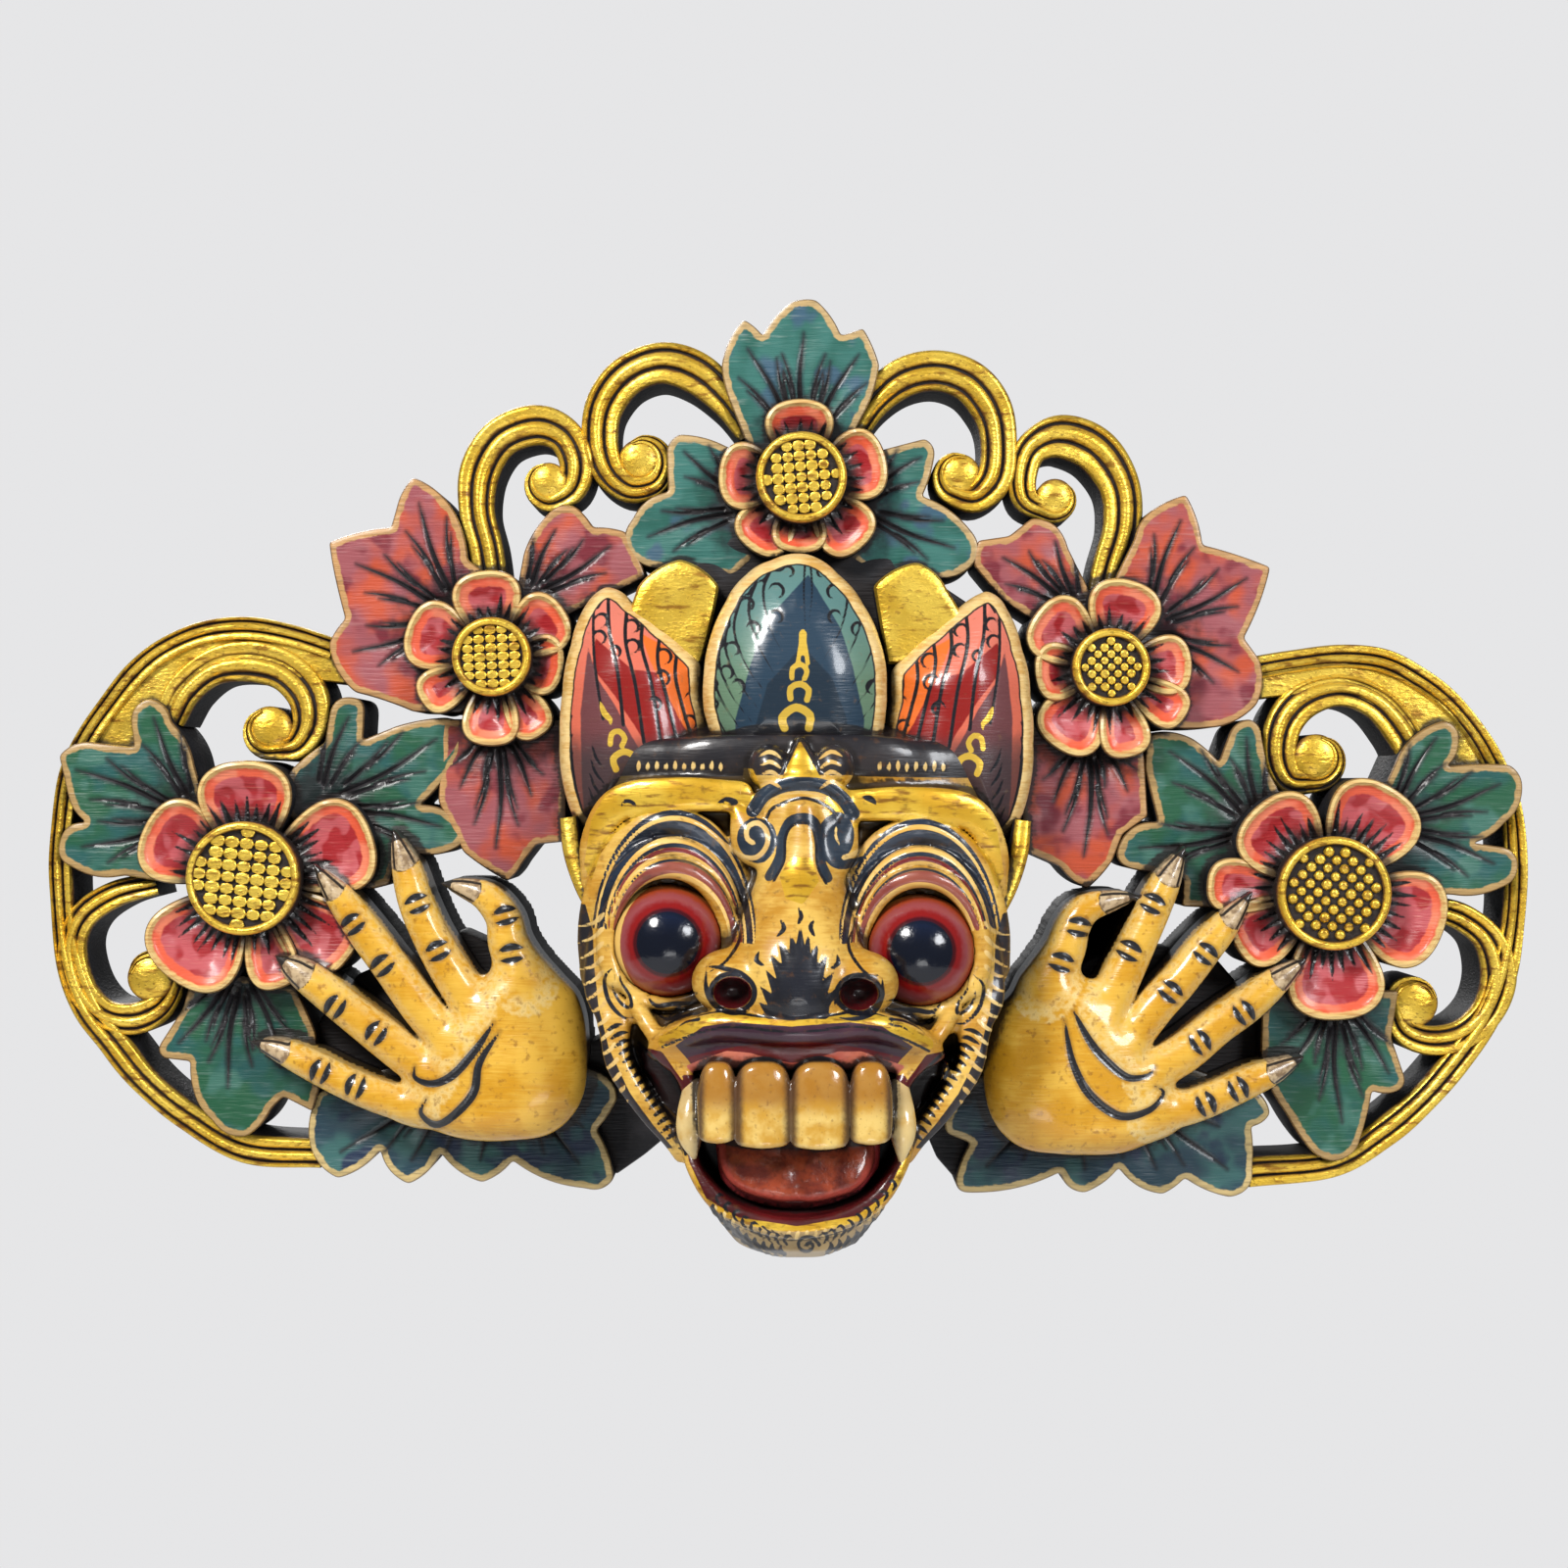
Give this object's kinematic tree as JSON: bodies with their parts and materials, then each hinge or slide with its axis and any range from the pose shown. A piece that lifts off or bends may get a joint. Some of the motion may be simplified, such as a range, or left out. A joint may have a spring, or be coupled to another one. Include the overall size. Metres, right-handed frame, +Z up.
{
  "type": "carved wall plaque",
  "caption": "Openwork carved and painted wooden wall plaque: a fanged demon head between two raised hands, with flowers, leaves and gilded scrolls.",
  "frame": {"origin": "on the flat back, behind the middle of the carving", "axes": "+X to the right and +Z up as seen by someone facing the carving, +Y into the wall; the face looks to -Y"},
  "size_m": [0.5036, 0.1134, 0.3172],
  "materials": {
    "painted_wood": "carved wood, painted in reds, greens, ochre and black, gilded on the scrolls, and varnished"
  },
  "bodies": {
    "root": {"carving": "painted_wood"}
  },
  "joints": []
}
